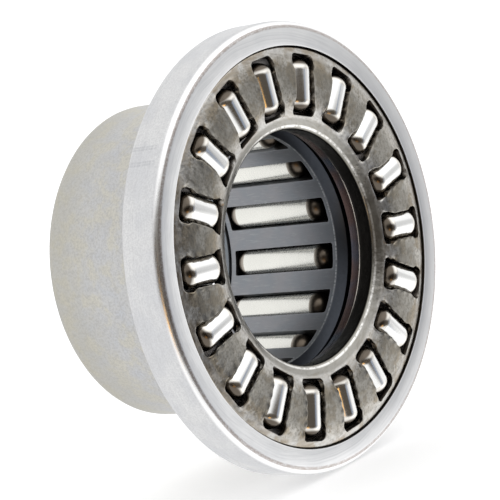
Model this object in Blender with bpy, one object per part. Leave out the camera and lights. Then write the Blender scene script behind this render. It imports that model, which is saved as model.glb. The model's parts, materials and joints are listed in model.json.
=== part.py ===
"""Needle and thrust roller bearing with a pressed retaining cap, as separate solids.

World frame: the shaft's axis is Y, the thrust side faces -Y, +Z is up, and the origin is the
centre of the whole bearing. Every ring is drawn as (radius, depth) points, where depth runs
along +Y from the plane of the retaining cap's lip, and the parent empty carries that plane.
"""

from math import atan2, cos, pi, radians, sin, tan

import bmesh
import bpy
from mathutils import Matrix, Vector

MM = 0.001

# Whole bearing
OVERALL_LENGTH = 13.75 * MM
ROLLER_PROUD = 0.25 * MM  # how far the thrust rollers stand out of the cap's lip plane
CLEARANCE = 0.03 * MM  # running clearance between a roller and each of its raceways
RING_STEPS = 60
CORNER_STEPS = 2
SMALL_FILLET = 0.26 * MM  # fillets up to this size are one flat facet
ROLLER_STEPS = 16
DOME_STEPS = 3

# Sleeve: drawn outer ring of the needle row, with a flange under the thrust washer
SLEEVE_OUTER_RADIUS = 10.5 * MM
SLEEVE_LIP_RADIUS = 7.55 * MM
SLEEVE_LIP_THICKNESS = 0.4 * MM
SLEEVE_END_DEPTH = 13.5 * MM
SLEEVE_CORNER = 0.9 * MM
FLANGE_FRONT_DEPTH = 2.6 * MM
FLANGE_REAR_DEPTH = 3.4 * MM
FLANGE_OUTER_RADIUS = 13.7 * MM

# Retaining cap: one pressed sheet that holds washer, cage and flange together
CAP_SHEET = 0.45 * MM
CAP_OUTER_RADIUS = 14.6 * MM
CAP_LIP_RADIUS = 13.0 * MM
CAP_BAND_DEPTH = 2.73 * MM
CAP_CRIMP_RADIUS = 12.9 * MM
CAP_CRIMP_ANGLE = radians(32.5)  # measured from the plane across the axis
CAP_CORNER = 0.3 * MM
CRIMP_GAP = 0.05 * MM  # between the crimped skirt and the sleeve's flange

# Thrust washer: flat ring that the thrust rollers run on
WASHER_BORE_RADIUS = 7.85 * MM
WASHER_OUTER_RADIUS = 14.0 * MM
WASHER_REAR_DEPTH = 2.55 * MM
WASHER_CHAMFER = 0.1 * MM

# Thrust rollers, lying radially
THRUST_ROLLERS = 18
THRUST_ROLLER_RADIUS = 1.0 * MM
THRUST_ROLLER_LENGTH = 3.5 * MM
THRUST_ROLLER_DOME = 0.8 * MM
THRUST_PITCH_RADIUS = 10.47 * MM
THRUST_START_ANGLE = radians(-4.57)  # from +Z, turning about +Y

# Thrust cage: pressed sheet ring, arched across the rollers, with a skirt down its bore
THRUST_CAGE_SHEET = 0.35 * MM
THRUST_CAGE_BORE_RADIUS = 7.6 * MM
THRUST_CAGE_SKIRT_DEPTH = 1.6 * MM
THRUST_CAGE_BEND = 0.25 * MM
ARCH_INNER_RADIUS = 8.0 * MM
ARCH_INNER_DEPTH = 0.38 * MM
ARCH_CROWN_RADIUS = 10.15 * MM
ARCH_CROWN_DEPTH = -0.15 * MM  # the crown stands proud of the cap's lip
ARCH_OUTER_RADIUS = 12.62 * MM
ARCH_OUTER_DEPTH = 0.13 * MM
ARCH_STEPS = 4
THRUST_CAGE_RIM_RADIUS = 13.1 * MM
THRUST_CAGE_RIM_DEPTH = 1.07 * MM
WINDOW_INNER_RADIUS = 8.45 * MM
WINDOW_OUTER_RADIUS = 12.45 * MM
WINDOW_FOOT_HALF_WIDTH = 1.1 * MM
WINDOW_WAIST_HALF_WIDTH = 0.92 * MM
WINDOW_CORNER = 0.3 * MM
WAIST_INNER_RADIUS = 9.7 * MM
WAIST_OUTER_RADIUS = 11.3 * MM
WAIST_RUN = 0.5 * MM  # length over which a window narrows to its waist

# Needle rollers, lying along the shaft
NEEDLES = 15
NEEDLE_RADIUS = 1.0 * MM
NEEDLE_DOME = 0.95 * MM
NEEDLE_PITCH_RADIUS = 8.5 * MM
NEEDLE_FRONT_DEPTH = 4.55 * MM
NEEDLE_REAR_DEPTH = 12.7 * MM
NEEDLE_START_ANGLE = radians(-13.9)  # from +Z, turning about +Y

# Needle cage: ring with one pocket for each needle
NEEDLE_CAGE_BORE_RADIUS = 7.65 * MM
NEEDLE_CAGE_OUTER_RADIUS = 9.25 * MM
NEEDLE_CAGE_FRONT_DEPTH = 3.0 * MM
NEEDLE_CAGE_REAR_DEPTH = 13.05 * MM
POCKET_FRONT_DEPTH = 3.9 * MM
POCKET_REAR_DEPTH = 12.75 * MM
POCKET_MOUTH_HALF_WIDTH = 0.88 * MM
POCKET_HALF_WIDTH = 1.05 * MM
POCKET_MOUTH_RADIUS = 7.95 * MM
POCKET_STEP = 0.15 * MM  # height over which the mouth widens into the pocket
POCKET_OVERRUN = 0.6 * MM  # how far the cutter passes through both faces of the cage

# Worked out from the sizes above
LIP_PLANE_Y = ROLLER_PROUD - OVERALL_LENGTH / 2
RACEWAY_RADIUS = NEEDLE_PITCH_RADIUS + NEEDLE_RADIUS + CLEARANCE
THRUST_AXIS_DEPTH = THRUST_ROLLER_RADIUS - ROLLER_PROUD
WASHER_FRONT_DEPTH = THRUST_AXIS_DEPTH + THRUST_ROLLER_RADIUS + CLEARANCE
AXIS = Vector((0, 1, 0))


def clear_scene():
    for existing in list(bpy.data.objects):
        bpy.data.objects.remove(existing)


def steel(name, colour, roughness):
    """A bare steel finish."""
    material = bpy.data.materials.new(name)
    material.use_nodes = True
    shader = material.node_tree.nodes["Principled BSDF"]
    shader.inputs["Base Color"].default_value = (*colour, 1)
    shader.inputs["Roughness"].default_value = roughness
    shader.inputs["Metallic"].default_value = 1.0
    return material


def rounded(corners, closed):
    """Points of an outline of (radius, depth, fillet) corners, with an arc at each filleted one."""
    points = []
    last = len(corners) - 1
    for i, (x, y, fillet) in enumerate(corners):
        if fillet == 0 or (not closed and i in (0, last)):
            points.append((x, y))
            continue
        before = corners[i - 1]
        after = corners[(i + 1) % len(corners)]
        a = Vector((before[0] - x, before[1] - y)).normalized()
        b = Vector((after[0] - x, after[1] - y)).normalized()
        half = a.angle(b) / 2
        centre = Vector((x, y)) + (a + b).normalized() * (fillet / sin(half))
        start = Vector((x, y)) + a * (fillet / tan(half)) - centre
        turn = start.angle_signed(Vector((x, y)) + b * (fillet / tan(half)) - centre)
        steps = 1 if fillet < SMALL_FILLET else CORNER_STEPS
        for step in range(steps + 1):
            spoke = start.copy()
            spoke.rotate(Matrix.Rotation(-turn * step / steps, 2))
            points.append(tuple(centre + spoke))
    return points


def sheet(path, thickness):
    """Closed outline of a sheet whose middle follows the path."""
    headings = [atan2(b[1] - a[1], b[0] - a[0]) for a, b in zip(path, path[1:])]
    left = []
    right = []
    for (x, y), arriving, leaving in zip(path, headings[:1] + headings, headings + headings[-1:]):
        middle = (arriving + leaving) / 2
        reach = thickness / 2 / cos((leaving - arriving) / 2)
        left.append((x - reach * sin(middle), y + reach * cos(middle)))
        right.append((x + reach * sin(middle), y - reach * cos(middle)))
    return left + right[::-1]


def add_object(name, bm, material, parent):
    """An object of the given mesh, smooth shaded apart from its crisp edges."""
    bmesh.ops.recalc_face_normals(bm, faces=bm.faces)
    mesh = bpy.data.meshes.new(name)
    bm.to_mesh(mesh)
    bm.free()
    mesh.shade_smooth()
    mesh.set_sharp_from_angle(angle=radians(35))
    if material:
        mesh.materials.append(material)
    obj = bpy.data.objects.new(name, mesh)
    bpy.context.scene.collection.objects.link(obj)
    obj.parent = parent
    return obj


def spun(points, axis, steps, closed):
    """Mesh turned from points in the plane of +Z and the axis, or of +X when the axis is Z."""
    bm = bmesh.new()
    outline = [bm.verts.new(point) for point in points]
    edges = [bm.edges.new(pair) for pair in zip(outline, outline[1:])]
    if closed:
        edges.append(bm.edges.new((outline[-1], outline[0])))
    bmesh.ops.spin(
        bm, geom=outline + edges, cent=(0, 0, 0), axis=axis, angle=2 * pi, steps=steps, use_merge=True
    )
    bmesh.ops.remove_doubles(bm, verts=bm.verts, dist=1e-7)
    return bm


def ring(name, outline, material, parent):
    """Ring turned about the shaft's axis from a closed outline of (radius, depth) points."""
    points = [(0, depth, radius) for radius, depth in outline]
    return add_object(name, spun(points, AXIS, RING_STEPS, closed=True), material, parent)


def roller_outline(radius, length, dome):
    """(radius, position) points of a roller from end to end, with half an ellipse at each end."""
    body = length / 2 - dome
    slants = [pi / 2 * step / DOME_STEPS for step in range(DOME_STEPS + 1)]
    half = [(radius * sin(slant), body + dome * cos(slant)) for slant in slants]
    return [(r, -p) for r, p in half] + [(r, p) for r, p in half[::-1]]


def on_circle(radius, angle, depth):
    """Point at an angle from +Z turning about +Y."""
    return Vector((radius * sin(angle), depth, radius * cos(angle)))


def cutter(name, outline, low, high, count, start, parent):
    """Prisms along the axis, one for each place on the circle, for a Boolean to cut with."""
    bm = bmesh.new()
    for i in range(count):
        turn = Matrix.Rotation(start + 2 * pi * i / count, 3, AXIS)
        face = bm.faces.new([bm.verts.new(turn @ Vector((x, low, z))) for x, z in outline])
        grown = bmesh.ops.extrude_face_region(bm, geom=[face])["geom"]
        raised = [item for item in grown if isinstance(item, bmesh.types.BMVert)]
        bmesh.ops.translate(bm, verts=raised, vec=(0, high - low, 0))
    obj = add_object(name, bm, None, parent)
    obj.hide_render = True
    obj.display_type = "WIRE"
    return obj


def cut(obj, tool):
    modifier = obj.modifiers.new("cut", "BOOLEAN")
    modifier.operation = "DIFFERENCE"
    modifier.solver = "EXACT"
    modifier.object = tool


def mirrored(half):
    """Closed outline symmetric about x = 0 from its +X half."""
    return half + [(-x, z) for x, z in reversed(half)]


def sleeve_outline():
    chamfer_end = FLANGE_OUTER_RADIUS
    crimp_depth = crimp_inner_depth(chamfer_end) - CRIMP_GAP
    chamfer_start = chamfer_end - (FLANGE_REAR_DEPTH - crimp_depth) / tan(CAP_CRIMP_ANGLE)
    corners = [
        (RACEWAY_RADIUS, FLANGE_FRONT_DEPTH, 0.1 * MM),
        (chamfer_end, FLANGE_FRONT_DEPTH, 0),
        (chamfer_end, crimp_depth, 0),
        (chamfer_start, FLANGE_REAR_DEPTH, 0),
        (SLEEVE_OUTER_RADIUS, FLANGE_REAR_DEPTH, 0.15 * MM),
        (SLEEVE_OUTER_RADIUS, SLEEVE_END_DEPTH, SLEEVE_CORNER),
        (SLEEVE_LIP_RADIUS, SLEEVE_END_DEPTH, 0),
        (SLEEVE_LIP_RADIUS, SLEEVE_END_DEPTH - SLEEVE_LIP_THICKNESS, 0),
        (RACEWAY_RADIUS, SLEEVE_END_DEPTH - SLEEVE_LIP_THICKNESS, 0),
    ]
    return rounded(corners, closed=True)


def crimp_inner_depth(radius):
    """Depth of the crimped skirt's inner face, which slopes inwards behind the flange."""
    outer = CAP_BAND_DEPTH + (CAP_OUTER_RADIUS - radius) * tan(CAP_CRIMP_ANGLE)
    return outer - CAP_SHEET / cos(CAP_CRIMP_ANGLE)


def cap_outline():
    middle = CAP_SHEET / 2
    band = CAP_OUTER_RADIUS - middle
    bend_depth = crimp_inner_depth(band) + middle / cos(CAP_CRIMP_ANGLE)
    crimp_end = bend_depth + (band - CAP_CRIMP_RADIUS) * tan(CAP_CRIMP_ANGLE)
    corners = [
        (CAP_LIP_RADIUS, middle, 0),
        (band, middle, CAP_CORNER),
        (band, bend_depth, CAP_CORNER),
        (CAP_CRIMP_RADIUS, crimp_end, 0),
    ]
    return sheet(rounded(corners, closed=False), CAP_SHEET)


def washer_outline():
    corners = [
        (WASHER_BORE_RADIUS, WASHER_FRONT_DEPTH, WASHER_CHAMFER),
        (WASHER_OUTER_RADIUS, WASHER_FRONT_DEPTH, 0),
        (WASHER_OUTER_RADIUS, WASHER_REAR_DEPTH, 0),
        (WASHER_BORE_RADIUS, WASHER_REAR_DEPTH, WASHER_CHAMFER),
    ]
    return rounded(corners, closed=True)


def arch(foot_radius, foot_depth):
    """Parabola from the arch's crown to one of its feet, through the middle of the sheet."""
    points = []
    for step in range(ARCH_STEPS + 1):
        share = step / ARCH_STEPS
        radius = ARCH_CROWN_RADIUS + (foot_radius - ARCH_CROWN_RADIUS) * share
        depth = ARCH_CROWN_DEPTH + (foot_depth - ARCH_CROWN_DEPTH) * share ** 2
        points.append((radius, depth + THRUST_CAGE_SHEET / 2))
    return points


def thrust_cage_outline():
    middle = THRUST_CAGE_SHEET / 2
    skirt = THRUST_CAGE_BORE_RADIUS + middle
    inner = arch(ARCH_INNER_RADIUS, ARCH_INNER_DEPTH)
    outer = arch(ARCH_OUTER_RADIUS, ARCH_OUTER_DEPTH)
    slope = 2 * (ARCH_INNER_DEPTH - ARCH_CROWN_DEPTH) / (ARCH_CROWN_RADIUS - ARCH_INNER_RADIUS)
    bend_depth = ARCH_INNER_DEPTH + slope * (ARCH_INNER_RADIUS - skirt) + middle
    bend = rounded([
        (skirt, THRUST_CAGE_SKIRT_DEPTH, 0),
        (skirt, bend_depth, THRUST_CAGE_BEND),
        inner[-1] + (0,),
    ], closed=False)
    rim = (THRUST_CAGE_RIM_RADIUS, THRUST_CAGE_RIM_DEPTH)
    return sheet(bend + inner[-2:0:-1] + outer + [rim], THRUST_CAGE_SHEET)


def window_outline():
    """Window across one thrust roller: wide at both feet, narrow under the arch's crown."""
    return mirrored([
        (WINDOW_FOOT_HALF_WIDTH - WINDOW_CORNER, WINDOW_INNER_RADIUS),
        (WINDOW_FOOT_HALF_WIDTH, WINDOW_INNER_RADIUS + WINDOW_CORNER),
        (WINDOW_FOOT_HALF_WIDTH, WAIST_INNER_RADIUS - WAIST_RUN),
        (WINDOW_WAIST_HALF_WIDTH, WAIST_INNER_RADIUS),
        (WINDOW_WAIST_HALF_WIDTH, WAIST_OUTER_RADIUS),
        (WINDOW_FOOT_HALF_WIDTH, WAIST_OUTER_RADIUS + WAIST_RUN),
        (WINDOW_FOOT_HALF_WIDTH, WINDOW_OUTER_RADIUS - WINDOW_CORNER),
        (WINDOW_FOOT_HALF_WIDTH - WINDOW_CORNER, WINDOW_OUTER_RADIUS),
    ])


def needle_cage_outline():
    corners = [
        (NEEDLE_CAGE_BORE_RADIUS, NEEDLE_CAGE_FRONT_DEPTH, 0.15 * MM),
        (NEEDLE_CAGE_OUTER_RADIUS, NEEDLE_CAGE_FRONT_DEPTH, 0.15 * MM),
        (NEEDLE_CAGE_OUTER_RADIUS, NEEDLE_CAGE_REAR_DEPTH, 0),
        (NEEDLE_CAGE_BORE_RADIUS, NEEDLE_CAGE_REAR_DEPTH, 0),
    ]
    return rounded(corners, closed=True)


def pocket_outline():
    """Pocket across one needle: a mouth narrower than the needle at the bore, and a wider body."""
    return mirrored([
        (POCKET_MOUTH_HALF_WIDTH, NEEDLE_CAGE_BORE_RADIUS - POCKET_OVERRUN),
        (POCKET_MOUTH_HALF_WIDTH, POCKET_MOUTH_RADIUS),
        (POCKET_HALF_WIDTH, POCKET_MOUTH_RADIUS + POCKET_STEP),
        (POCKET_HALF_WIDTH, NEEDLE_CAGE_OUTER_RADIUS + POCKET_OVERRUN),
    ])


def make_thrust_row(front, cage_steel, roller_steel):
    cage = ring("thrust_cage", thrust_cage_outline(), cage_steel, front)
    windows = cutter(
        "thrust_window_cutter",
        window_outline(),
        ARCH_CROWN_DEPTH - THRUST_CAGE_SHEET,
        THRUST_CAGE_SKIRT_DEPTH,
        THRUST_ROLLERS,
        THRUST_START_ANGLE,
        front,
    )
    cut(cage, windows)
    outline = roller_outline(THRUST_ROLLER_RADIUS, THRUST_ROLLER_LENGTH, THRUST_ROLLER_DOME)
    shape = spun([(0, r, p) for r, p in outline], (0, 0, 1), ROLLER_STEPS, closed=False)
    first = add_object("thrust_roller_01", shape, roller_steel, cage)
    for i in range(THRUST_ROLLERS):
        roller = first if i == 0 else first.copy()
        roller.name = f"thrust_roller_{i + 1:02d}"
        if i:
            bpy.context.scene.collection.objects.link(roller)
        angle = THRUST_START_ANGLE + 2 * pi * i / THRUST_ROLLERS
        roller.location = on_circle(THRUST_PITCH_RADIUS, angle, THRUST_AXIS_DEPTH)
        roller.rotation_euler = (0, angle, 0)


def make_needle_row(front, cage_steel, needle_steel):
    cage = ring("needle_cage", needle_cage_outline(), cage_steel, front)
    pockets = cutter(
        "needle_pocket_cutter",
        pocket_outline(),
        POCKET_FRONT_DEPTH,
        POCKET_REAR_DEPTH,
        NEEDLES,
        NEEDLE_START_ANGLE,
        front,
    )
    cut(cage, pockets)
    length = NEEDLE_REAR_DEPTH - NEEDLE_FRONT_DEPTH
    outline = roller_outline(NEEDLE_RADIUS, length, NEEDLE_DOME)
    shape = spun([(0, p, r) for r, p in outline], AXIS, ROLLER_STEPS, closed=False)
    first = add_object("needle_roller_01", shape, needle_steel, cage)
    middle = (NEEDLE_FRONT_DEPTH + NEEDLE_REAR_DEPTH) / 2
    for i in range(NEEDLES):
        needle = first if i == 0 else first.copy()
        needle.name = f"needle_roller_{i + 1:02d}"
        if i:
            bpy.context.scene.collection.objects.link(needle)
        angle = NEEDLE_START_ANGLE + 2 * pi * i / NEEDLES
        needle.location = on_circle(NEEDLE_PITCH_RADIUS, angle, middle)
        needle.rotation_euler = (0, angle, 0)


def main():
    clear_scene()
    front = bpy.data.objects.new("lip_plane", None)
    bpy.context.scene.collection.objects.link(front)
    front.location = (0, LIP_PLANE_Y, 0)

    ring("sleeve", sleeve_outline(), steel("sleeve_steel", (0.50, 0.50, 0.48), 0.42), front)
    ring("thrust_washer", washer_outline(), steel("washer_steel", (0.16, 0.17, 0.36), 0.3), front)
    ring("retaining_cap", cap_outline(), steel("cap_steel", (0.74, 0.74, 0.73), 0.34), front)
    make_thrust_row(
        front,
        steel("thrust_cage_steel", (0.36, 0.33, 0.30), 0.45),
        steel("thrust_roller_steel", (0.86, 0.86, 0.84), 0.12),
    )
    make_needle_row(
        front,
        steel("needle_cage_steel", (0.22, 0.25, 0.27), 0.48),
        steel("needle_roller_steel", (0.80, 0.79, 0.74), 0.22),
    )


main()
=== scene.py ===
import json
import random
from math import asin, atan2, cos, hypot, pi, radians, sin, sqrt

import bmesh
import bpy
from mathutils import Matrix, Vector

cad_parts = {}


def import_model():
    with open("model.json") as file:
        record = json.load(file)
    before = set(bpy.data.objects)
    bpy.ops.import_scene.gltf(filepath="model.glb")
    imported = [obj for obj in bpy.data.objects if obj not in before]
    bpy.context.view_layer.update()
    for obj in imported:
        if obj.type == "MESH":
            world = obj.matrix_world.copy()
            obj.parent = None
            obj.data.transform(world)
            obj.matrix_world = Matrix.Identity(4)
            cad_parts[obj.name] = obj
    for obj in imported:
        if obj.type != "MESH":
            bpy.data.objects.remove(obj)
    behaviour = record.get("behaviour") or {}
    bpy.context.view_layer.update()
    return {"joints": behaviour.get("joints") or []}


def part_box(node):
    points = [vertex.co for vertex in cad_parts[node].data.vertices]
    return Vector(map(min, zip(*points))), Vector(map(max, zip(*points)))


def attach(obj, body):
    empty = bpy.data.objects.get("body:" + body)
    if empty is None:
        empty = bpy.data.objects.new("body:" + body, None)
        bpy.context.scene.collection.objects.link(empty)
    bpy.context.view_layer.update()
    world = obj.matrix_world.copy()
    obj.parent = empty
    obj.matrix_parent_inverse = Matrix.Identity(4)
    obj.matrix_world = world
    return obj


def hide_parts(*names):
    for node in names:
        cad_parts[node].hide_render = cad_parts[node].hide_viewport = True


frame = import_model()

MM = 0.001
RING_STEPS = 240
SHARP_ANGLE = radians(40)  # a crease where faces meet at more than this

# Rollers
ROLLER_RADIUS = 1.0 * MM
ROLLER_STEPS = 48
ROLLER_SHARP_ANGLE = radians(50)
DOME_STEPS = 14
END_SQUARENESS = 0.94  # 1 would make a roller's ends half ellipses
THRUST_LENGTH = 3.5 * MM
THRUST_DOME = 0.8 * MM
NEEDLE_DOME = 0.95 * MM

# Read from the frame
LIP_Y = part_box("retaining_cap")[0].y  # plane of the cap's lip; depth runs from it along +Y
FLOOR_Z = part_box("retaining_cap")[0].z
CAP_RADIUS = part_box("retaining_cap")[1].x
SLEEVE_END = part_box("sleeve")[1].y - LIP_Y
CAGE_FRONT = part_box("needle_cage")[0].y - LIP_Y
CAGE_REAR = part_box("needle_cage")[1].y - LIP_Y
CAGE_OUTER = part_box("needle_cage")[1].x
WASHER_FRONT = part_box("thrust_washer")[0].y - LIP_Y
WASHER_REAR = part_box("thrust_washer")[1].y - LIP_Y
WASHER_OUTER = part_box("thrust_washer")[1].x
NEEDLE_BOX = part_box("needle_roller_01")
NEEDLE_LENGTH = NEEDLE_BOX[1].y - NEEDLE_BOX[0].y
JOINTS = {joint["name"]: joint for joint in frame["joints"]}
THRUST_SPINS = sorted(name for name in JOINTS if name.startswith("thrust_roller"))
NEEDLE_SPINS = sorted(name for name in JOINTS if name.startswith("needle_roller"))


# ---------------------------------------------------------------- mesh helpers

def rounded(corners, closed, step=radians(15)):
    """Points of an outline of (radius, depth, fillet) corners in mm, an arc at each filleted one."""
    points = []
    last = len(corners) - 1
    for i, (x, y, fillet) in enumerate(corners):
        if fillet == 0 or (not closed and i in (0, last)):
            points.append((x * MM, y * MM))
            continue
        before = corners[i - 1]
        after = corners[(i + 1) % len(corners)]
        here = Vector((x, y))
        a = (Vector(before[:2]) - here).normalized()
        b = (Vector(after[:2]) - here).normalized()
        half = a.angle(b) / 2
        centre = here + (a + b).normalized() * (fillet / sin(half))
        start = here + a * (fillet * cos(half) / sin(half)) - centre
        turn = start.angle_signed(here + b * (fillet * cos(half) / sin(half)) - centre)
        count = max(2, round(abs(turn) / step))
        for k in range(count + 1):
            spoke = start.copy()
            spoke.rotate(Matrix.Rotation(-turn * k / count, 2))
            point = centre + spoke
            points.append((point.x * MM, point.y * MM))
    return points


def sheet_outline(path, thickness):
    """Closed outline of a sheet whose middle follows the path."""
    left, right = [], []
    for i, (x, y) in enumerate(path):
        before = path[max(i - 1, 0)]
        after = path[min(i + 1, len(path) - 1)]
        along = Vector((after[0] - before[0], after[1] - before[1])).normalized()
        left.append((x - along.y * thickness / 2, y + along.x * thickness / 2))
        right.append((x + along.y * thickness / 2, y - along.x * thickness / 2))
    return left + right[::-1]


def finish_mesh(name, bm, material):
    """Smooth shaded object of a mesh, crisp where its faces meet at a corner."""
    bmesh.ops.recalc_face_normals(bm, faces=bm.faces)
    mesh = bpy.data.meshes.new(name)
    bm.to_mesh(mesh)
    bm.free()
    mesh.shade_smooth()
    mesh.set_sharp_from_angle(angle=SHARP_ANGLE)
    mesh.materials.append(material)
    obj = bpy.data.objects.new(name, mesh)
    bpy.context.scene.collection.objects.link(obj)
    return obj


def lathe(name, outline, material):
    """Ring turned about the shaft's axis from a closed outline of (radius, depth) in metres."""
    bm = bmesh.new()
    rows = []
    for i in range(RING_STEPS):
        a = 2 * pi * i / RING_STEPS
        rows.append([bm.verts.new((r * sin(a), LIP_Y + d, r * cos(a))) for r, d in outline])
    count = len(outline)
    for i in range(RING_STEPS):
        here, after = rows[i], rows[(i + 1) % RING_STEPS]
        for k in range(count):
            n = (k + 1) % count
            bm.faces.new((here[k], here[n], after[n], after[k]))
    return finish_mesh(name, bm, material)


def spindle_mesh(name, outline):
    """Mesh turned about its own Z from an open outline of (radius, position), closed at both poles."""
    bm = bmesh.new()
    turns = [2 * pi * k / ROLLER_STEPS for k in range(ROLLER_STEPS)]
    rings = [[bm.verts.new((r * sin(t), r * cos(t), p)) for t in turns] for r, p in outline[1:-1]]
    low = bm.verts.new((0, 0, outline[0][1]))
    high = bm.verts.new((0, 0, outline[-1][1]))
    for k in range(ROLLER_STEPS):
        n = (k + 1) % ROLLER_STEPS
        bm.faces.new((low, rings[0][k], rings[0][n]))
        bm.faces.new((high, rings[-1][n], rings[-1][k]))
        for a, b in zip(rings, rings[1:]):
            bm.faces.new((a[k], b[k], b[n], a[n]))
    bmesh.ops.recalc_face_normals(bm, faces=bm.faces)
    mesh = bpy.data.meshes.new(name)
    bm.to_mesh(mesh)
    bm.free()
    mesh.shade_smooth()
    mesh.set_sharp_from_angle(angle=ROLLER_SHARP_ANGLE)
    return mesh


def roller_outline(length, dome):
    """Outline of a roller whose straight body runs smoothly into a dome at each end."""
    body = length / 2 - dome
    half = []
    for k in range(DOME_STEPS + 1):
        t = pi / 2 * k / DOME_STEPS
        out = ROLLER_RADIUS * sin(t) ** END_SQUARENESS
        half.append((out, body + dome * abs(cos(t)) ** END_SQUARENESS))
    return [(r, -p) for r, p in half] + [(r, p) for r, p in half[::-1]]


# ---------------------------------------------------------------- material helpers

class Nodes:
    """Small helper for writing node trees."""

    def __init__(self, owner):
        owner.use_nodes = True
        self.owner = owner
        self.tree = owner.node_tree

    def add(self, kind, **settings):
        node = self.tree.nodes.new(kind)
        for key, value in settings.items():
            setattr(node, key, value)
        return node

    def put(self, socket, value):
        if isinstance(value, bpy.types.NodeSocket):
            self.tree.links.new(value, socket)
        else:
            socket.default_value = value

    def math(self, operation, *values):
        node = self.add("ShaderNodeMath", operation=operation)
        for socket, value in zip(node.inputs, values):
            self.put(socket, value)
        return node.outputs[0]

    def vector(self, operation, *values):
        node = self.add("ShaderNodeVectorMath", operation=operation)
        for socket, value in zip(node.inputs, values):
            self.put(socket, value)
        return node.outputs[1] if operation == "LENGTH" else node.outputs[0]

    def scale(self, vector, factor):
        node = self.add("ShaderNodeVectorMath", operation="SCALE")
        self.put(node.inputs[0], vector)
        node.inputs["Scale"].default_value = factor
        return node.outputs[0]

    def noise(self, vector, scale, detail=2.0, rough=0.5, distort=0.0):
        node = self.add("ShaderNodeTexNoise")
        self.put(node.inputs["Vector"], vector)
        self.put(node.inputs["Scale"], scale)
        self.put(node.inputs["Detail"], detail)
        self.put(node.inputs["Roughness"], rough)
        self.put(node.inputs["Distortion"], distort)
        return node.outputs["Fac"]

    def ramp(self, value, low, high, to_low=0.0, to_high=1.0):
        node = self.add("ShaderNodeMapRange", interpolation_type="SMOOTHSTEP")
        for socket, number in zip(node.inputs, (value, low, high, to_low, to_high)):
            self.put(socket, number)
        return node.outputs[0]

    def mix(self, factor, a, b):
        node = self.add("ShaderNodeMix", data_type="RGBA")
        self.put(node.inputs[0], factor)
        self.put(node.inputs[6], (*a, 1) if isinstance(a, tuple) else a)
        self.put(node.inputs[7], (*b, 1) if isinstance(b, tuple) else b)
        return node.outputs[2]

    def dot(self, vector, direction):
        node = self.add("ShaderNodeVectorMath", operation="DOT_PRODUCT")
        self.put(node.inputs[0], vector)
        self.put(node.inputs[1], direction)
        return node.outputs["Value"]


class Metal(Nodes):
    """Node tree of a metal on an object of the bearing, in the object's own coordinates."""

    def __init__(self, name):
        super().__init__(bpy.data.materials.new(name))
        self.shader = self.tree.nodes["Principled BSDF"]
        self.coords = self.add("ShaderNodeTexCoord").outputs["Object"]

    def axis_parts(self):
        """Distance from the shaft's axis, and depth behind the lip plane, both in mm."""
        scaled = self.scale(self.coords, 1 / MM)
        split = self.add("ShaderNodeSeparateXYZ")
        self.put(split.inputs[0], scaled)
        flat = self.add("ShaderNodeCombineXYZ")
        self.put(flat.inputs[0], split.outputs[0])
        self.put(flat.inputs[2], split.outputs[2])
        radius = self.vector("LENGTH", flat.outputs[0])
        depth = self.math("SUBTRACT", split.outputs[1], LIP_Y / MM)
        return scaled, radius, depth

    def angle(self, scaled):
        """Angle about the shaft's axis, from the top towards +X."""
        split = self.add("ShaderNodeSeparateXYZ")
        self.put(split.inputs[0], scaled)
        return self.math("ARCTAN2", split.outputs[0], split.outputs[2])

    def turned_coords(self, radius, depth, scaled, stretch=0.06):
        """Coordinates in which fine noise runs in rings around the axis, with no seam."""
        wobble = self.noise(scaled, 0.12, 2)
        joined = self.add("ShaderNodeCombineXYZ")
        self.put(joined.inputs[0], self.math("ADD", radius, wobble))
        self.put(joined.inputs[1], depth)
        small = self.scale(scaled, stretch)
        return self.vector("ADD", joined.outputs[0], small)

    def bump(self, height, strength, distance=0.02 * MM, normal=None):
        node = self.add("ShaderNodeBump")
        self.put(node.inputs["Height"], height)
        node.inputs["Strength"].default_value = strength
        node.inputs["Distance"].default_value = distance
        if normal is not None:
            self.put(node.inputs["Normal"], normal)
        return node.outputs[0]

    def done(self, colour, roughness, normal=None):
        self.put(self.shader.inputs["Base Color"], colour)
        self.put(self.shader.inputs["Roughness"], roughness)
        self.shader.inputs["Metallic"].default_value = 1.0
        if normal is not None:
            self.put(self.shader.inputs["Normal"], normal)
        return self.owner


# ---------------------------------------------------------------- materials

SEAM_MARKS = (radians(-51.9), radians(-52.55), radians(-55.9), radians(-56.6))
SEAM_HALF_WIDTH = 0.003  # in radians


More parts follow.
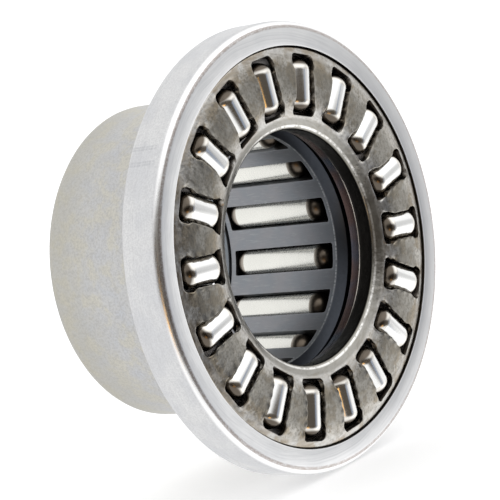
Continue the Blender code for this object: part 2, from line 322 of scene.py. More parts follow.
def cap_steel():
    """Bright satin sheet, brushed around the axis, with a dark grainy strip inside its corner, painted
    highlights on the corner and the lip's inner edge, and painted shade on the +X side of the face and
    inside the lip's edge.
    """
    n = Metal("cap_steel")
    scaled, radius, depth = n.axis_parts()
    turned = n.turned_coords(radius, depth, scaled)
    brush = n.noise(turned, 14, 3, 0.65)
    grain = n.noise(scaled, 9, 3, 0.6)
    cloud = n.noise(scaled, 0.45, 3)
    band = n.mix(n.ramp(cloud, 0.36, 0.64), (0.62, 0.625, 0.64), (0.70, 0.70, 0.70))
    band = n.mix(n.ramp(grain, 0.42, 0.60, 0, 0.45), band, (0.50, 0.50, 0.51))
    face = n.mix(n.ramp(cloud, 0.36, 0.64), (0.82, 0.825, 0.83), (0.89, 0.89, 0.89))
    # Painted shade: the face is painted duller towards its +X side.
    painted_shade_side = n.ramp(n.dot(scaled, (1, 0, 0)), 0.0, 12.0, 0, 0.6)
    face = n.mix(painted_shade_side, face, (0.50, 0.50, 0.505))
    base = n.mix(n.ramp(radius, 14.25, 14.0), band, face)
    base = n.mix(n.ramp(brush, 0.35, 0.7, 0, 0.3), base, (0.52, 0.525, 0.535))
    # Painted highlight: the outer part of the corner is painted brighter, and it is also made smoother.
    corner = n.math("MULTIPLY", n.ramp(radius, 14.24, 14.32), n.ramp(depth, 0.34, 0.20))
    base = n.mix(n.math("MULTIPLY", corner, 0.85), base, (0.96, 0.96, 0.96))
    # A dark grainy strip on the bend between the face and the corner.
    strip = n.math("MULTIPLY", n.ramp(radius, 14.02, 14.14), n.ramp(radius, 14.32, 14.24))
    strip = n.math("MULTIPLY", strip, n.ramp(grain, 0.36, 0.56, 0.25, 0.9))
    base = n.mix(n.math("MULTIPLY", strip, n.ramp(depth, 1.0, 0.8)), base, (0.40, 0.35, 0.325))
    angle = n.angle(scaled)
    for mark in SEAM_MARKS:
        off = n.math("ABSOLUTE", n.math("SUBTRACT", angle, mark))
        near = n.ramp(off, 2 * SEAM_HALF_WIDTH, SEAM_HALF_WIDTH)
        line = n.math("MULTIPLY", near, n.ramp(depth, 0.55, 0.7))
        faint = n.math("MULTIPLY", line, n.ramp(brush, 0.3, 0.6, 0.1, 0.45))
        base = n.mix(faint, base, (0.40, 0.41, 0.43))
    # Painted highlight: a thin bright line on the lip's inner front edge.
    painted_edge_highlight = n.math("MULTIPLY", n.ramp(radius, 13.06, 13.02), n.ramp(depth, 0.12, 0.06))
    base = n.mix(painted_edge_highlight, base, (0.9, 0.9, 0.9))
    # Painted shade: the lip's inner edge face and underside are painted dark brown.
    inside = n.math("MULTIPLY", n.ramp(radius, 13.02, 13.0), n.ramp(depth, 0.07, 0.12))
    base = n.mix(inside, base, (0.16, 0.14, 0.115))
    rough = n.math("SUBTRACT", n.ramp(brush, 0.2, 0.8, 0.30, 0.42), n.math("MULTIPLY", corner, 0.08))
    height = n.math("ADD", n.math("MULTIPLY", brush, 0.7), n.math("MULTIPLY", grain, 0.5))
    return n.done(base, rough, n.bump(height, 0.25))


def sleeve_steel():
    """Matte satin drawn steel with fine grain and faint warm and cool blotches, with painted shade on
    its rear corner and near-black painted shade inside.
    """
    n = Metal("sleeve_steel")
    scaled, radius, depth = n.axis_parts()
    grain = n.noise(scaled, 7, 4, 0.7)
    cloud = n.noise(scaled, 0.35, 3, 0.55)
    tint = n.noise(n.vector("ADD", scaled, (31.0, 7.0, 3.0)), 0.8, 3, 0.6)
    base = n.mix(cloud, (0.50, 0.50, 0.50), (0.60, 0.60, 0.60))
    base = n.mix(n.ramp(tint, 0.46, 0.62, 0, 0.55), base, (0.60, 0.57, 0.47))
    base = n.mix(n.ramp(tint, 0.46, 0.28, 0, 0.35), base, (0.50, 0.53, 0.60))
    base = n.mix(n.ramp(grain, 0.4, 0.66, 0, 0.5), base, (0.40, 0.395, 0.385))
    base = n.mix(n.ramp(depth, 8.5, 13.0, 0, 0.5), base, (0.44, 0.42, 0.35))
    before_end = n.ramp(depth, 13.47, 13.40)
    # Painted shade: the rear rounded corner is painted darker, up to the end face.
    corner = n.math("MULTIPLY", n.ramp(depth, 12.95, 13.15, 0, 0.6), before_end)
    base = n.mix(corner, base, (0.20, 0.19, 0.17))
    # Painted shade: inside the bore the sleeve is painted near black, and slate on the inside of its
    # rear lip.
    painted_bore_shade = n.mix(n.ramp(depth, 12.9, 13.05), (0.07, 0.075, 0.085), (0.20, 0.22, 0.24))
    base = n.mix(n.math("MULTIPLY", n.ramp(radius, 9.9, 9.6), before_end), base, painted_bore_shade)
    rough = n.ramp(grain, 0.2, 0.8, 0.42, 0.56)
    return n.done(base, rough, n.bump(grain, 0.35, 0.03 * MM))


def washer_steel():
    """Hardened washer, tempered dark blue to brown at its bore, with a painted highlight on its
    chamfer.
    """
    n = Metal("washer_steel")
    scaled, radius, depth = n.axis_parts()
    tint = n.noise(scaled, 0.35, 2)
    turned = n.turned_coords(radius, depth, scaled)
    brush = n.noise(turned, 10, 3, 0.6)
    temper = n.mix(n.ramp(tint, 0.35, 0.6), (0.05, 0.065, 0.09), (0.085, 0.055, 0.05))
    temper = n.mix(n.ramp(brush, 0.4, 0.7, 0, 0.4), temper, (0.03, 0.03, 0.035))
    # Painted highlight: the chamfer at the bore is painted bright.
    from_chamfer = n.math("ABSOLUTE", n.math("SUBTRACT", depth, WASHER_FRONT / MM + WASHER_CHAMFER / 2))
    edge = n.ramp(from_chamfer, 0.03, 0.06, 1, 0)
    near_bore = n.ramp(radius, 7.84, 8.02, 1, 0)
    bright = n.math("MULTIPLY", edge, near_bore)
    face = n.mix(n.ramp(radius, 7.95, 8.1), temper, (0.36, 0.34, 0.33))
    base = n.mix(bright, face, (0.72, 0.66, 0.60))
    rough = n.ramp(brush, 0.2, 0.8, 0.22, 0.34)
    return n.done(base, rough, n.bump(brush, 0.15))


def thrust_cage_steel():
    """Pressed cage sheet: warm grey-brown, cloudy and stained, with painted highlights on its slopes
    and inner edge, and painted shade on its crown, inner ring, skirt, bore and window walls.
    """
    n = Metal("thrust_cage_steel")
    scaled, radius, depth = n.axis_parts()
    cloud = n.noise(scaled, 1.1, 5, 0.68, 0.5)
    speck = n.noise(scaled, 5, 3, 0.7)
    turned = n.turned_coords(radius, depth, scaled, 0.3)
    scuff = n.noise(turned, 6, 3, 0.6)
    base = n.mix(n.ramp(cloud, 0.32, 0.68), (0.30, 0.275, 0.235), (0.54, 0.52, 0.48))
    stain = n.noise(n.vector("ADD", scaled, (5.0, 9.0, 2.0)), 0.7, 4, 0.65)
    base = n.mix(n.ramp(stain, 0.48, 0.58, 0, 0.75), base, (0.27, 0.22, 0.15))
    base = n.mix(n.ramp(speck, 0.45, 0.65, 0, 0.7), base, (0.16, 0.145, 0.12))
    # Painted highlight: the arch's slopes are painted lighter, streaked by the ring noise.
    slopes = n.math("ADD", n.ramp(radius, 9.4, 8.7), n.ramp(radius, 12.1, 12.6))
    painted_slope_highlight = n.math("MULTIPLY", slopes, n.ramp(scuff, 0.3, 0.6, 0.2, 0.6))
    base = n.mix(painted_slope_highlight, base, (0.66, 0.655, 0.64))
    # Painted shade: the flat inner ring is painted darker.
    ring = n.ramp(radius, 8.4, 8.2)
    base = n.mix(n.math("MULTIPLY", ring, 0.7), base, (0.25, 0.24, 0.215))
    rim = n.math("MULTIPLY", n.ramp(radius, 12.2, 12.9), n.ramp(stain, 0.42, 0.56))
    base = n.mix(n.math("MULTIPLY", rim, 0.6), base, (0.30, 0.24, 0.165))
    # Painted shade: the arch's crown is painted darker.
    crown = n.math("MULTIPLY", n.ramp(radius, 9.2, 9.8), n.ramp(radius, 12.0, 11.4))
    base = n.mix(n.math("MULTIPLY", crown, 0.55), base, (0.20, 0.19, 0.165))
    # Painted highlight: a bright ragged line on the sheet's inner bend.
    edge = n.math("MULTIPLY", n.ramp(radius, 7.72, 7.78), n.ramp(radius, 7.92, 7.84))
    painted_edge_highlight = n.math("MULTIPLY", edge, n.ramp(n.noise(scaled, 2.5, 3, 0.7), 0.35, 0.55, 0.2, 1.0))
    painted_edge_highlight = n.math("MULTIPLY", painted_edge_highlight, n.ramp(depth, 0.62, 0.56))
    base = n.mix(painted_edge_highlight, base, (0.86, 0.85, 0.82))
    # Painted shade: the skirt's bore is painted dark, and near black beyond the bend.
    skirt = n.ramp(radius, 7.70, 7.64)
    base = n.mix(n.math("MULTIPLY", skirt, 0.6), base, (0.20, 0.19, 0.15))
    painted_skirt_shade = n.math("MULTIPLY", n.ramp(depth, 0.55, 0.64), n.ramp(radius, 8.4, 8.2))
    base = n.mix(painted_skirt_shade, base, (0.012, 0.011, 0.010))
    # Painted shade: the window walls, the sheet's cut edges, are painted near black.
    normal = n.add("ShaderNodeNewGeometry").outputs["True Normal"]
    facing = n.math("ABSOLUTE", n.dot(normal, (0, 1, 0)))
    windows = n.math("MULTIPLY", n.ramp(radius, 8.3, 8.4), n.ramp(radius, 12.7, 12.6))
    painted_wall_shade = n.math("MULTIPLY", n.ramp(facing, 0.75, 0.35), windows)
    base = n.mix(n.math("MULTIPLY", painted_wall_shade, 0.65), base, (0.08, 0.065, 0.05))
    rough = n.ramp(cloud, 0.3, 0.7, 0.27, 0.38)
    height = n.math("ADD", n.math("MULTIPLY", scuff, 0.4), n.math("MULTIPLY", speck, 0.6))
    dents = n.bump(stain, 0.5, 0.12 * MM)
    return n.done(base, rough, n.bump(height, 0.3, 0.03 * MM, dents))


def needle_cage_steel():
    """Slate cage with a faint blue and pink temper, fine scratches along the bars, painted shade darker
    towards its front and near black in its front recess, and a painted highlight on the recess edge.
    """
    n = Metal("needle_cage_steel")
    scaled, radius, depth = n.axis_parts()
    stretched = n.vector("MULTIPLY", scaled, (4.0, 0.5, 4.0))
    streak = n.noise(stretched, 2.2, 3, 0.6)
    tint = n.noise(scaled, 0.9, 2)
    base = n.mix(tint, (0.20, 0.225, 0.25), (0.27, 0.26, 0.27))
    base = n.mix(n.ramp(streak, 0.5, 0.72, 0, 0.45), base, (0.40, 0.42, 0.43))
    # Painted shade: the cage is painted darker towards its front, and near black in its front recess.
    base = n.mix(n.ramp(depth, 8.0, CAGE_FRONT / MM + 0.7, 0, 0.6), base, (0.10, 0.11, 0.125))
    front = n.ramp(depth, CAGE_FRONT / MM + 0.62, CAGE_FRONT / MM + 0.55)
    base = n.mix(front, base, (0.05, 0.055, 0.065))
    # Painted highlight: a thin bright line on the front recess's edge.
    line = n.math("ABSOLUTE", n.math("SUBTRACT", depth, CAGE_FRONT / MM + 0.66))
    painted_edge_highlight = n.math("MULTIPLY", n.ramp(line, 0.06, 0.03), n.ramp(streak, 0.4, 0.6, 0.1, 0.9))
    base = n.mix(painted_edge_highlight, base, (0.5, 0.52, 0.54))
    rough = n.ramp(streak, 0.3, 0.7, 0.34, 0.46)
    return n.done(base, rough, n.bump(streak, 0.2))


def roller_steel(name, colour, end_colour, half_body, roughness, ridges, dark_radius):
    """Ground roller: fine grinding rings on the body, and domed ends painted dark inside a radius, a
    painted dark reflection.
    """
    n = Metal(name)
    scaled = n.scale(n.coords, 1 / MM)
    split = n.add("ShaderNodeSeparateXYZ")
    n.put(split.inputs[0], scaled)
    along = n.math("ABSOLUTE", split.outputs[2])
    rings = n.noise(n.vector("MULTIPLY", scaled, (0.4, 0.4, 9.0)), 3, 3, 0.6)
    cloud = n.noise(scaled, 0.8, 2)
    end = n.ramp(along, half_body / MM, half_body / MM + 0.06)
    base = n.mix(n.ramp(cloud, 0.3, 0.7, 0, 0.3), colour, tuple(c * 0.9 for c in colour))
    base = n.mix(end, base, end_colour)
    flat = n.add("ShaderNodeCombineXYZ")
    n.put(flat.inputs[0], split.outputs[0])
    n.put(flat.inputs[1], split.outputs[1])
    from_axis = n.vector("LENGTH", flat.outputs[0])
    # Painted reflection: the dome is painted near black inside dark_radius, for the dark it reflects.
    centre = n.math("MULTIPLY", n.ramp(from_axis, dark_radius, dark_radius - 0.13), end)
    base = n.mix(n.math("MULTIPLY", centre, 0.95), base, (0.085, 0.066, 0.048))
    rough = n.math("ADD", n.ramp(rings, 0.3, 0.7, *roughness), n.math("MULTIPLY", end, 0.04))
    return n.done(base, rough, n.bump(rings, ridges, 0.01 * MM) if ridges else None)


# ---------------------------------------------------------------- fixed rings

# All in mm: radii, depths behind the lip plane, and thicknesses
RACEWAY = 9.53
SLEEVE_RADIUS = 10.5
FLANGE_RADIUS = 13.68
FLANGE_FRONT, FLANGE_REAR = 2.62, 3.38
FLANGE_CHAMFER = (1.04, 0.66)  # radial and axial, to clear the crimped skirt
REAR_LIP_RADIUS = 7.55
REAR_LIP_THICKNESS = 0.38
CAP_SHEET = 0.45
LIP_RADII = (12.99, 13.1, 13.2, 13.3, 13.45, 13.6, 13.75, 13.9)
LIP_MIDDLE = 13.6  # where the cap's face is highest
LIP_CROWN = 0.13  # curvature of the cap's face, in 1/mm
ROLLED_GROOVE = (1.80, 1.94, 2.2, 2.32)  # depths where the groove in the band starts, levels and ends
GROOVE_SINK = 0.03
CRIMP_START = 2.607
CRIMP_END = (12.95, 3.515)
WASHER_BORE = 7.85
WASHER_CHAMFER = 0.1


def sleeve_piece(material):
    end = SLEEVE_END / MM
    chamfer_across, chamfer_along = FLANGE_CHAMFER
    corners = [
        (RACEWAY, FLANGE_FRONT, 0.12),
        (FLANGE_RADIUS, FLANGE_FRONT, 0.05),
        (FLANGE_RADIUS, FLANGE_REAR - chamfer_along, 0.05),
        (FLANGE_RADIUS - chamfer_across, FLANGE_REAR, 0.1),
        (SLEEVE_RADIUS, FLANGE_REAR, 0.2),
        (SLEEVE_RADIUS, end, 0.95),
        (REAR_LIP_RADIUS, end, 0.06),
        (REAR_LIP_RADIUS, end - REAR_LIP_THICKNESS, 0.06),
        (RACEWAY, end - REAR_LIP_THICKNESS, 0.15),
    ]
    piece = lathe("sleeve_shell", rounded(corners, True), material)
    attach(piece, "housing_ring")
    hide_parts("sleeve")


def cap_piece(material):
    half = CAP_SHEET / 2
    band = CAP_RADIUS / MM - half
    lip = [(r, half + LIP_CROWN * (r - LIP_MIDDLE) ** 2) for r in LIP_RADII]
    groove_in, groove_low, groove_high, groove_out = ROLLED_GROOVE
    around = [
        lip[-1] + (0,),
        (band, half + 0.03, 0.34),
        (band, groove_in, 0.8),
        (band - GROOVE_SINK, groove_low, 0.8),
        (band - GROOVE_SINK, groove_high, 0.6),
        (band, groove_out, 0.6),
        (band, CRIMP_START, 0.16),
        CRIMP_END + (0,),
    ]
    path = [(r * MM, depth * MM) for r, depth in lip] + rounded(around, False)[1:]
    piece = lathe("cap_shell", sheet_outline(path, CAP_SHEET * MM), material)
    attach(piece, "housing_ring")
    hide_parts("retaining_cap")


def washer_piece(material):
    front, rear, outer = WASHER_FRONT / MM, WASHER_REAR / MM, WASHER_OUTER / MM
    square = [(WASHER_BORE, front), (outer, front), (outer, rear), (WASHER_BORE, rear)]
    corners = [corner + (WASHER_CHAMFER,) for corner in square]
    piece = lathe("washer_ring", rounded(corners, True), material)
    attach(piece, "housing_ring")
    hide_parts("thrust_washer")


# ---------------------------------------------------------------- thrust cage

# All in mm: radii, depths behind the lip plane, and thicknesses
WINDOW_IN, WINDOW_OUT = 8.42, 12.45
WINDOW_INNER_CORNER = 0.32
WINDOW_OUTER_CORNER = 0.22
WINDOW_HALF_WIDTH = 1.10
WAIST_INSET = 0.18
WAIST_STARTS = (8.95, 9.7)  # radii between which a window narrows to its waist
WAIST_ENDS = (11.3, 11.75)  # and between which it widens again
OUTER_TAPER = 0.10
OUTER_TAPER_START = 12.0
STRAIGHT_STARTS = (WINDOW_IN - 0.45, WINDOW_IN - 0.05)  # where the rows turn from arcs to straights
STRAIGHT_ENDS = (WINDOW_OUT + 0.05, WINDOW_OUT + 0.4)  # and back to arcs
CAGE_BORE = 7.6
CAGE_BEND = 0.24
BEND_TURN = radians(62)  # from straight along the axis to the arch's slope
SKIRT_DEPTHS = (1.6, 1.4, 1.0)
CAGE_SHEET = 0.34
CAGE_RIM = 13.38
CROWN_RADIUS = 10.15
CROWN_DEPTH = -0.15
INNER_CURVE = 0.115  # how fast the arch falls away from its crown, in 1/mm
OUTER_CURVE = 0.046
RIM_START = 12.86
RIM_SLOPE = 2.0
ROW_STEP = 0.06
WINDOW_COLUMNS = 8
BAR_SHARES = (0, 0.04, 0.1, 0.2, 0.35, 0.5, 0.65, 0.8, 0.9, 0.96)  # columns across a bar
RAGGEDNESS = 0.022
RAGGED_SEED = 11
BURR_HEIGHT = 0.05
BURR_SHARE = 0.12  # share of a bar's width that its sheared edge lifts
SHEARED_EDGE_BEVEL = 0.035


def smooth(x, low, high):
    t = min(max((x - low) / (high - low), 0), 1)
    return t * t * (3 - 2 * t)


def cage_depth(r):
    """Depth of the front face of the arched sheet, at a radius outside its inner bend, in mm."""
    curve = INNER_CURVE if r < CROWN_RADIUS else OUTER_CURVE
    return curve * (CROWN_RADIUS - r) ** 2 + CROWN_DEPTH + RIM_SLOPE * max(r - RIM_START, 0)


def cage_rows():
    """(radius, depth or None) rows of the sheet's front face, from the skirt's edge to the rim."""
    rows = [(CAGE_BORE, depth) for depth in SKIRT_DEPTHS]
    bend_end = CAGE_BORE + CAGE_BEND * (1 - cos(BEND_TURN))
    start = cage_depth(bend_end) + CAGE_BEND * sin(BEND_TURN)
    for k in range(9):
        t = BEND_TURN * k / 8
        rows.append((CAGE_BORE + CAGE_BEND * (1 - cos(t)), start - CAGE_BEND * sin(t)))
    r = bend_end + ROW_STEP
    while r < CAGE_RIM - 0.02:
        rows.append((r, None))
        r += ROW_STEP
    rows.append((CAGE_RIM, None))
    return rows


def corner_inset(gap, corner):
    """How far a rounded window corner pulls the side in, this far from the window's end."""
    short = max(corner - gap, 0)
    return corner - sqrt(max(corner * corner - short * short, 0))


def window_half_width(r):
    """Half width of a window: wide over the roller's ends, narrow under the arch's crown."""
    waist = smooth(r, *WAIST_STARTS) * (1 - smooth(r, *WAIST_ENDS))
    taper = OUTER_TAPER * smooth(r, OUTER_TAPER_START, WINDOW_OUT)
    inner = corner_inset(r - WINDOW_IN, WINDOW_INNER_CORNER)
    outer = corner_inset(WINDOW_OUT - r, WINDOW_OUTER_CORNER)
    return WINDOW_HALF_WIDTH - WAIST_INSET * waist - taper - inner - outer


def ragged_waves(sides):
    """Four waves for each window side, which make its sheared edge ragged."""
    rng = random.Random(RAGGED_SEED)
    return [
        [(rng.uniform(0.2, 1.0), rng.uniform(0, 2 * pi), rng.uniform(4, 16)) for _ in range(4)]
        for _ in range(sides)
    ]


def beside_window(across, r, straight):
    """Radius and angle of a point beside a window's middle line, on an arc or on a straight row."""
    flat_r = hypot(across, r)
    flat_a = atan2(across, r)
    round_a = asin(across / r)
    return r + (flat_r - r) * straight, round_a + (flat_a - round_a) * straight


def cage_row(r, in_window, starts, waves):
    """(radius, angle, burr) points once around the sheet, burr being 1 at a window's sheared edge."""
    straight = smooth(r, *STRAIGHT_STARTS) * (1 - smooth(r, *STRAIGHT_ENDS))
    clamped = min(max(r, WINDOW_IN), WINDOW_OUT)
    sector = 2 * pi / len(starts)
    row = []
    for k, start in enumerate(starts):
        edges = []
        for side in range(3):
            waves_here = waves[(2 * k + side) % len(waves)]
            jag = sum(size * sin(speed * clamped + phase) for size, phase, speed in waves_here) / 4
            edges.append(window_half_width(clamped) + (RAGGEDNESS * jag if in_window else 0))
        left, right, next_left = edges
        for column in range(WINDOW_COLUMNS):
            across = -left + (left + right) * column / WINDOW_COLUMNS
            pr, pa = beside_window(across, r, straight)
            row.append((pr, start + pa, 0.0))
        r0, a0 = beside_window(right, r, straight)
        r1, a1 = beside_window(-next_left, r, straight)
        for share in BAR_SHARES:
            pr = r0 + (r1 - r0) * share
            pa = start + a0 + (sector + a1 - a0) * share
            burr = max(0.0, 1 - min(share, 1 - share) / BURR_SHARE) if in_window else 0.0
            row.append((pr, pa, burr))
    return row


def cage_grid():
    """The sheet's front face as one grid that follows the windows' edges."""
    axes = [JOINTS[name]["axis"] for name in THRUST_SPINS]
    starts = [atan2(axis[0], axis[2]) for axis in axes]
    waves = ragged_waves(2 * len(starts))
    rows = cage_rows()
    is_open = [fixed is None and WINDOW_IN - 0.001 < r < WINDOW_OUT + 0.04 for r, fixed in rows]
    bm = bmesh.new()
    grid = []
    for (r, fixed), in_window in zip(rows, is_open):
        verts = []
        for pr, pa, burr in cage_row(r, in_window, starts, waves):
            depth = fixed if fixed is not None else cage_depth(pr)
            depth -= BURR_HEIGHT * burr * (0.5 + 0.5 * sin(9 * pr + 7 * pa))
            verts.append(bm.verts.new((pr * MM * sin(pa), LIP_Y + depth * MM, pr * MM * cos(pa))))
        grid.append(verts)
    per_window = WINDOW_COLUMNS + len(BAR_SHARES)
    around = per_window * len(starts)
    for i in range(len(rows) - 1):
        for c in range(around):
            if c % per_window < WINDOW_COLUMNS and is_open[i] and is_open[i + 1]:
                continue
            n = (c + 1) % around
            bm.faces.new((grid[i][c], grid[i + 1][c], grid[i + 1][n], grid[i][n]))
    loose = [v for v in bm.verts if not v.link_faces]
    bmesh.ops.delete(bm, geom=loose, context="VERTS")
    bm.normal_update()
    middles = ((f, f.calc_center_median()) for f in bm.faces)
    sample = next(f for f, middle in middles if hypot(middle.x, middle.z) > 10 * MM)
    if sample.normal.y > 0:
        bmesh.ops.reverse_faces(bm, faces=bm.faces)
    return bm


def thrust_cage_piece(material):
    bm = cage_grid()
    mesh = bpy.data.meshes.new("thrust_cage_sheet")
    bm.to_mesh(mesh)
    bm.free()
    mesh.shade_smooth()
    mesh.materials.append(material)
    piece = bpy.data.objects.new("thrust_cage_sheet", mesh)
    bpy.context.scene.collection.objects.link(piece)
    solid = piece.modifiers.new("thickness", "SOLIDIFY")
    solid.thickness = CAGE_SHEET * MM
    solid.offset = -1
    solid.use_even_offset = False
    bevel = piece.modifiers.new("edges", "BEVEL")
    bevel.width = SHEARED_EDGE_BEVEL * MM
    bevel.segments = 2
    bevel.limit_method = "ANGLE"
    bevel.angle_limit = radians(55)
    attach(piece, "thrust_cage_ring")
    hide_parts("thrust_cage")


# ---------------------------------------------------------------- needle cage

NEEDLE_CAGE_BORE = 7.65  # all in mm
FRONT_RECESS_RADIUS = 8.1
FRONT_RECESS_DEPTH = 0.62
POCKET_CORNER = 0.14
POCKET_EDGE_BEVEL = 0.03
POCKET_CUTS = (
    # label, half width, front and rear depth, inner and outer radius
    ("mouths", 0.88, 3.95, 12.57, 7.0, 8.2),
    ("pockets", 1.05, 3.9, 12.76, 7.95, 10.0),
)


def radial_prism(bm, half_width, low, high, inner, outer, angle):
    """Closed prism along the radius with a rounded rectangular section, lengths in mm."""
    square = [(-half_width, low), (half_width, low), (half_width, high), (-half_width, high)]
    outline = rounded([corner + (POCKET_CORNER,) for corner in square], True, radians(30))
    turn = Matrix.Rotation(angle, 3, Vector((0, 1, 0)))
    loops = []
    for r in (inner, outer):
        loops.append([bm.verts.new(turn @ Vector((x, LIP_Y + y, r * MM))) for x, y in outline])
    bm.faces.new(loops[0])
    bm.faces.new(loops[1])
    for k in range(len(outline)):
        n = (k + 1) % len(outline)
        bm.faces.new((loops[0][k], loops[0][n], loops[1][n], loops[1][k]))


def needle_cage_piece(material):
    outer = CAGE_OUTER / MM
    front, rear = CAGE_FRONT / MM, CAGE_REAR / MM
    corners = [
        (FRONT_RECESS_RADIUS, front, 0.05),
        (outer, front, 0.2),
        (outer, rear, 0.2),
        (NEEDLE_CAGE_BORE, rear, 0.12),
        (NEEDLE_CAGE_BORE, front + FRONT_RECESS_DEPTH, 0.05),
    ]
    piece = lathe("needle_cage_ring", rounded(corners, True), material)
    for label, half, low, high, inside, outside in POCKET_CUTS:
        bm = bmesh.new()
        for name in NEEDLE_SPINS:
            pos = JOINTS[name]["pos_m"]
            radial_prism(bm, half, low, high, inside, outside, atan2(pos[0], pos[2]))
        tool = finish_mesh("cut_" + label, bm, material)
        modifier = piece.modifiers.new(label, "BOOLEAN")
        modifier.operation = "DIFFERENCE"
        modifier.solver = "EXACT"
        modifier.object = tool
        bpy.context.view_layer.update()
        evaluated = piece.evaluated_get(bpy.context.evaluated_depsgraph_get())
        cut = bpy.data.meshes.new_from_object(evaluated)
        piece.modifiers.clear()
        piece.data = cut
        bpy.data.objects.remove(tool)
    bevel = piece.modifiers.new("edges", "BEVEL")
    bevel.width = POCKET_EDGE_BEVEL * MM
    bevel.segments = 2
    bevel.limit_method = "ANGLE"
    bevel.angle_limit = radians(50)
    piece.data.shade_smooth()
    piece.data.set_sharp_from_angle(angle=SHARP_ANGLE)
    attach(piece, "needle_cage_ring")
    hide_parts("needle_cage")


# ---------------------------------------------------------------- rollers

def place_rollers(spins, mesh, material):
    """One copy of the roller on each joint, its own Z along the joint's axis."""
    mesh.materials.append(material)
    for name in spins:
        joint = JOINTS[name]
        node = joint["child"]
        piece = bpy.data.objects.new("ground_" + node, mesh)
        bpy.context.scene.collection.objects.link(piece)
        turn = Vector((0, 0, 1)).rotation_difference(Vector(joint["axis"]))
        piece.matrix_world = Matrix.Translation(joint["pos_m"]) @ turn.to_matrix().to_4x4()
        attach(piece, node)
        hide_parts(node)


# ---------------------------------------------------------------- studio

STUDIO_STRENGTH = 1.12
FLOOR_HALF = 1.5
FLOOR_GAP = 0.02 * MM
VIEW_AZIMUTH = radians(-50.03)
VIEW_ELEVATION = radians(8.01)
VIEW_ROLL = radians(11.68)
VIEW_DISTANCE = 134.66 * MM
VIEW_SHIFT_RIGHT = 3.785 * MM
VIEW_SHIFT_UP = 0.230 * MM
VIEW_LENS = 151.2


def camera():
    back = Vector((
        sin(VIEW_AZIMUTH) * cos(VIEW_ELEVATION),
        -cos(VIEW_AZIMUTH) * cos(VIEW_ELEVATION),
        sin(VIEW_ELEVATION),
    ))
    level_right = Vector((0, 0, 1)).cross(back).normalized()
    level_up = back.cross(level_right)
    right = level_right * cos(VIEW_ROLL) - level_up * sin(VIEW_ROLL)
    up = level_up * cos(VIEW_ROLL) + level_right * sin(VIEW_ROLL)
    place = Vector((0, LIP_Y, 0)) + back * VIEW_DISTANCE - right * VIEW_SHIFT_RIGHT - up * VIEW_SHIFT_UP
    data = bpy.data.cameras.new("camera")
    data.lens = VIEW_LENS
    data.sensor_width = 36
    data.clip_start = 0.01
    data.clip_end = 20
    obj = bpy.data.objects.new("camera", data)
    bpy.context.scene.collection.objects.link(obj)
    matrix = Matrix((right, up, back)).transposed().to_4x4()
    matrix.translation = place
    obj.matrix_world = matrix
    bpy.context.scene.camera = obj


def floor():
    bm = bmesh.new()
    height = FLOOR_Z - FLOOR_GAP
    signs = ((-1, -1), (1, -1), (1, 1), (-1, 1))
    bm.faces.new([bm.verts.new((x * FLOOR_HALF, y * FLOOR_HALF, height)) for x, y in signs])
    material = bpy.data.materials.new("pale_floor")
    material.use_nodes = True
    shader = material.node_tree.nodes["Principled BSDF"]
    shader.inputs["Base Color"].default_value = (0.85, 0.85, 0.85, 1)
    shader.inputs["Roughness"].default_value = 0.8
    shader.inputs["Emission Color"].default_value = (1, 1, 1, 1)
    shader.inputs["Emission Strength"].default_value = 0.3
    obj = finish_mesh("floor", bm, material)
    obj.visible_glossy = False


# Soft shapes of the studio that only reflections see. Each is (turn, height, half width, half
# height, softness, colour). Turn is measured about the studio's tilted upright from the bearing's
# front, positive towards the camera, and all angles are in degrees. From top to bottom: a bright
# ceiling, a bright low panel, a dimmer panel, the dark room behind the camera, a cool strip in it,
# and a warm lamp.
STUDIO_SHAPES = (
    (-8, 50, 58, 25, 0.6, (1.35, 1.35, 1.35)),
    (-50, -24, 32, 18, 0.8, (1.5, 1.5, 1.5)),
    (-50, 12, 16, 12, 0.9, (0.68, 0.68, 0.68)),
    (14, -6, 58, 25, 0.5, (0.075, 0.062, 0.048)),
    (-33, -3, 6, 22, 0.8, (0.28, 0.32, 0.40)),
    (35, -24, 11, 6, 0.6, (1.5, 0.85, 0.28)),
)
STUDIO_TILT = radians(13.6)  # lean of the studio's upright, about the bearing's axis


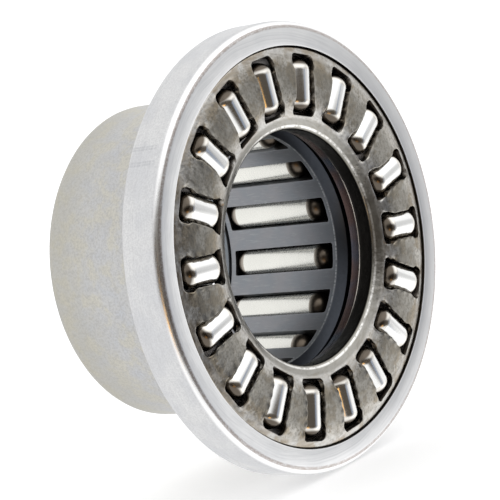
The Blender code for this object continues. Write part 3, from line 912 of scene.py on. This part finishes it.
def world():
    data = bpy.data.worlds.new("studio")
    bpy.context.scene.world = data
    n = Nodes(data)
    direction = n.add("ShaderNodeTexCoord").outputs["Generated"]
    upright = (sin(STUDIO_TILT), 0, cos(STUDIO_TILT))
    aside = (-cos(STUDIO_TILT), 0, sin(STUDIO_TILT))
    turn = n.math("ARCTAN2", n.dot(direction, aside), n.dot(direction, (0, -1, 0)))
    height = n.math("ARCSINE", n.dot(direction, upright))
    lit = n.mix(n.ramp(height, radians(-60), radians(60)), (1.08, 1.08, 1.08), (0.98, 0.98, 0.98))
    for turn_at, height_at, wide, tall, soft, colour in STUDIO_SHAPES:
        away = n.math("ABSOLUTE", n.math("SUBTRACT", turn, radians(turn_at)))
        away = n.math("MINIMUM", away, n.math("SUBTRACT", 2 * pi, away))
        across = n.math("POWER", n.math("DIVIDE", away, radians(wide)), 2.0)
        rise = n.math("ABSOLUTE", n.math("SUBTRACT", height, radians(height_at)))
        up = n.math("POWER", n.math("DIVIDE", rise, radians(tall)), 2.0)
        apart = n.math("SQRT", n.math("ADD", across, up))
        lit = n.mix(n.ramp(apart, 1 + soft / 2, 1 - soft / 2), lit, colour)
    glossy = n.add("ShaderNodeLightPath").outputs["Is Glossy Ray"]
    background = n.tree.nodes["Background"]
    n.put(background.inputs["Color"], n.mix(glossy, (1.0, 1.0, 1.0), lit))
    background.inputs["Strength"].default_value = STUDIO_STRENGTH
    view = bpy.context.scene.view_settings
    view.view_transform = "Standard"
    view.look = "None"


def main():
    camera()
    world()
    floor()
    sleeve_piece(sleeve_steel())
    cap_piece(cap_steel())
    washer_piece(washer_steel())
    thrust_cage_piece(thrust_cage_steel())
    needle_cage_piece(needle_cage_steel())
    outline = roller_outline(THRUST_LENGTH, THRUST_DOME)
    body = THRUST_LENGTH / 2 - THRUST_DOME
    metal = roller_steel(
        "thrust_roller_steel", (0.86, 0.86, 0.85), (0.78, 0.75, 0.70), body,
        roughness=(0.14, 0.20), ridges=0.03, dark_radius=0.98,
    )
    mesh = spindle_mesh("thrust_roller_ground", outline)
    place_rollers(THRUST_SPINS, mesh, metal)
    outline = roller_outline(NEEDLE_LENGTH, NEEDLE_DOME)
    body = NEEDLE_LENGTH / 2 - NEEDLE_DOME
    metal = roller_steel(
        "needle_roller_steel", (0.76, 0.755, 0.71), (0.66, 0.61, 0.54), body,
        roughness=(0.25, 0.29), ridges=0, dark_radius=1.06,
    )
    mesh = spindle_mesh("needle_ground", outline)
    place_rollers(NEEDLE_SPINS, mesh, metal)


main()
